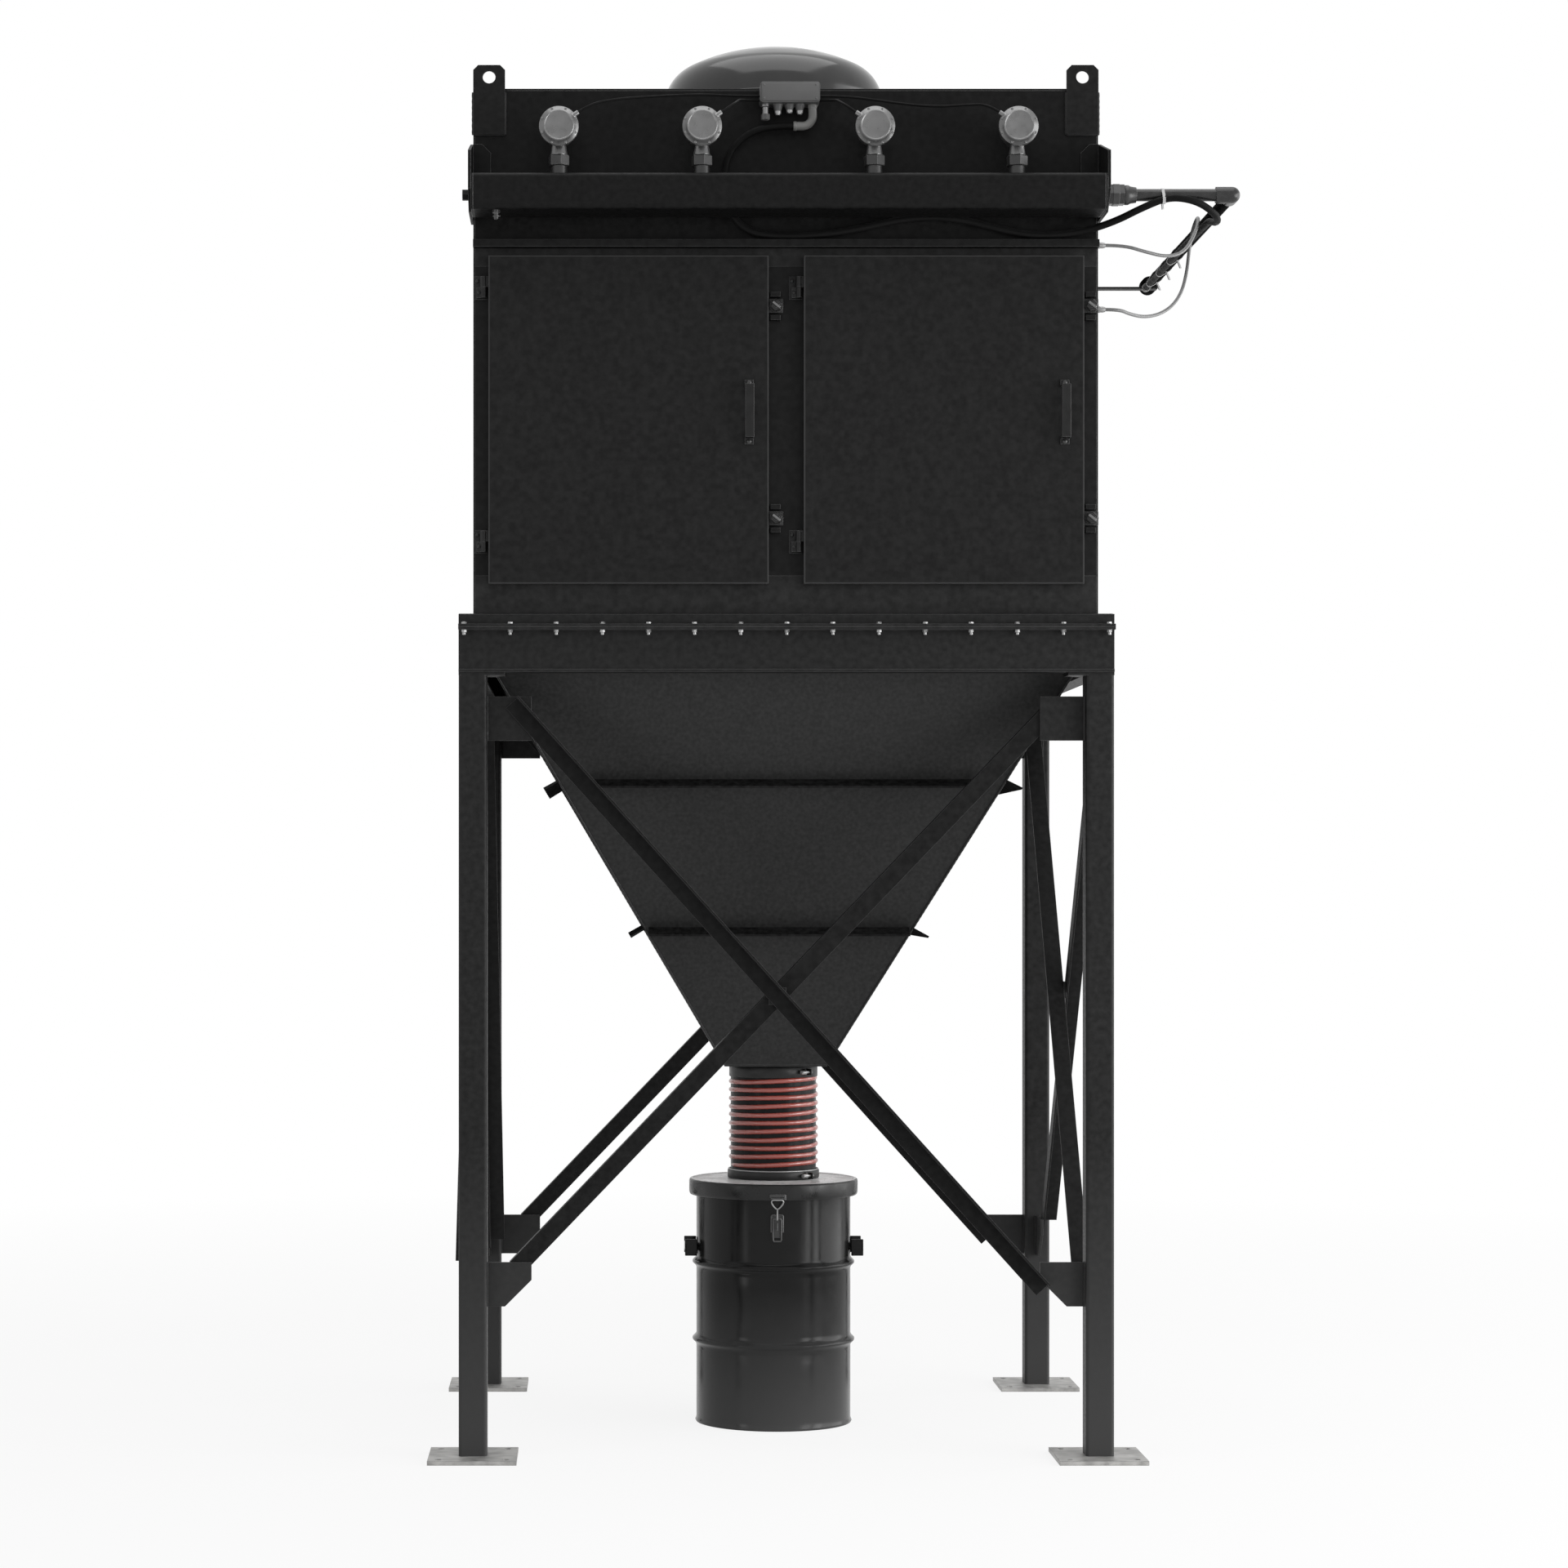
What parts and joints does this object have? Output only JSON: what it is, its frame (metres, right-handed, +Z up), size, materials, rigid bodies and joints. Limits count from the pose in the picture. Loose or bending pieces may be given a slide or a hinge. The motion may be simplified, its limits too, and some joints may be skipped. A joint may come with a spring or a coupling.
{
  "type": "cartridge dust collector",
  "caption": "Cartridge dust collector: a black sheet-steel filter housing with hinged doors and pulse-jet valves over a braced leg frame, a pyramid hopper and a drum.",
  "frame": {"origin": "on the floor, at the centre of the four legs", "axes": "+Z up, doors facing -Y, +X to the right as seen from the doors"},
  "size_m": [2.276, 1.76, 4.146],
  "materials": {
    "black_paint": "satin",
    "bare_steel": "galvanised",
    "zinc_steel": "zinc plated",
    "latch_steel": "satin",
    "cast_aluminium": "as cast",
    "grey_enamel": "gloss",
    "grey_plastic": "moulded",
    "pipe_steel": "black pipe",
    "hose_rubber": "ribbed",
    "drum_enamel": "gloss",
    "filter_media": "pleated",
    "black_cable": "satin",
    "grey_cable": "satin"
  },
  "bodies": {
    "collector": {"air_header": "black_paint", "air_pipe_front_run": "pipe_steel", "air_pipe_side_run": "pipe_steel", "base_flange_front_rear": "black_paint", "base_flange_sides": "black_paint", "blow_tubes": "zinc_steel", "cable_glands": "zinc_steel", "control_conduit": "black_cable", "cowl_stays": "black_paint", "cross_braces": "black_paint", "discharge_hose": "hose_rubber", "drum_body": "drum_enamel", "drum_fittings": "drum_enamel", "drum_lid": "drum_enamel", "filter_cartridges": "filter_media", "foot_plates": "bare_steel", "front_posts": "black_paint", "front_rails": "black_paint", "gusset_plates": "black_paint", "header_brackets": "black_paint", "header_end_caps": "black_paint", "hinge_brackets": "black_paint", "hopper_front_rear_plates": "black_paint", "hopper_outlet": "black_paint", "hopper_side_plates": "black_paint", "hopper_stiffeners_front_rear": "black_paint", "hopper_stiffeners_sides": "black_paint", "hose_clamps": "zinc_steel", "inlet_collar": "black_paint", "junction_box": "grey_plastic", "latch_cheeks": "black_paint", "legs": "black_paint", "lifting_lugs": "black_paint", "outlet_collar": "black_paint", "outlet_cowl": "grey_enamel", "pipe_bracket": "black_paint", "plenum_front_wall": "black_paint", "pulse_valves": "cast_aluminium", "rear_wall": "black_paint", "roof": "black_paint", "side_walls": "black_paint", "signal_cable": "grey_cable", "support_beams_front_rear": "black_paint", "support_beams_sides": "black_paint", "tube_sheet": "black_paint", "valve_couplings": "zinc_steel", "valve_lead_inner_left": "black_cable", "valve_lead_inner_right": "black_cable", "valve_lead_outer_left": "black_cable", "valve_lead_outer_right": "black_cable"},
    "door_left": {"door_left": "black_paint", "door_left_handle": "black_paint", "door_left_hinges": "black_paint", "door_left_latches": "latch_steel"},
    "door_right": {"door_right": "black_paint", "door_right_handle": "black_paint", "door_right_hinges": "black_paint", "door_right_latches": "latch_steel"}
  },
  "joints": [
    {"name": "door_left_hinge", "type": "hinge", "parent": "collector", "child": "door_left", "pos_m": [-0.854, -0.735, 2.9345], "axis": [0, 0, -1], "range_deg": [0, 110]},
    {"name": "door_right_hinge", "type": "hinge", "parent": "collector", "child": "door_right", "pos_m": [0.036, -0.735, 2.9345], "axis": [0, 0, -1], "range_deg": [0, 110]}
  ]
}
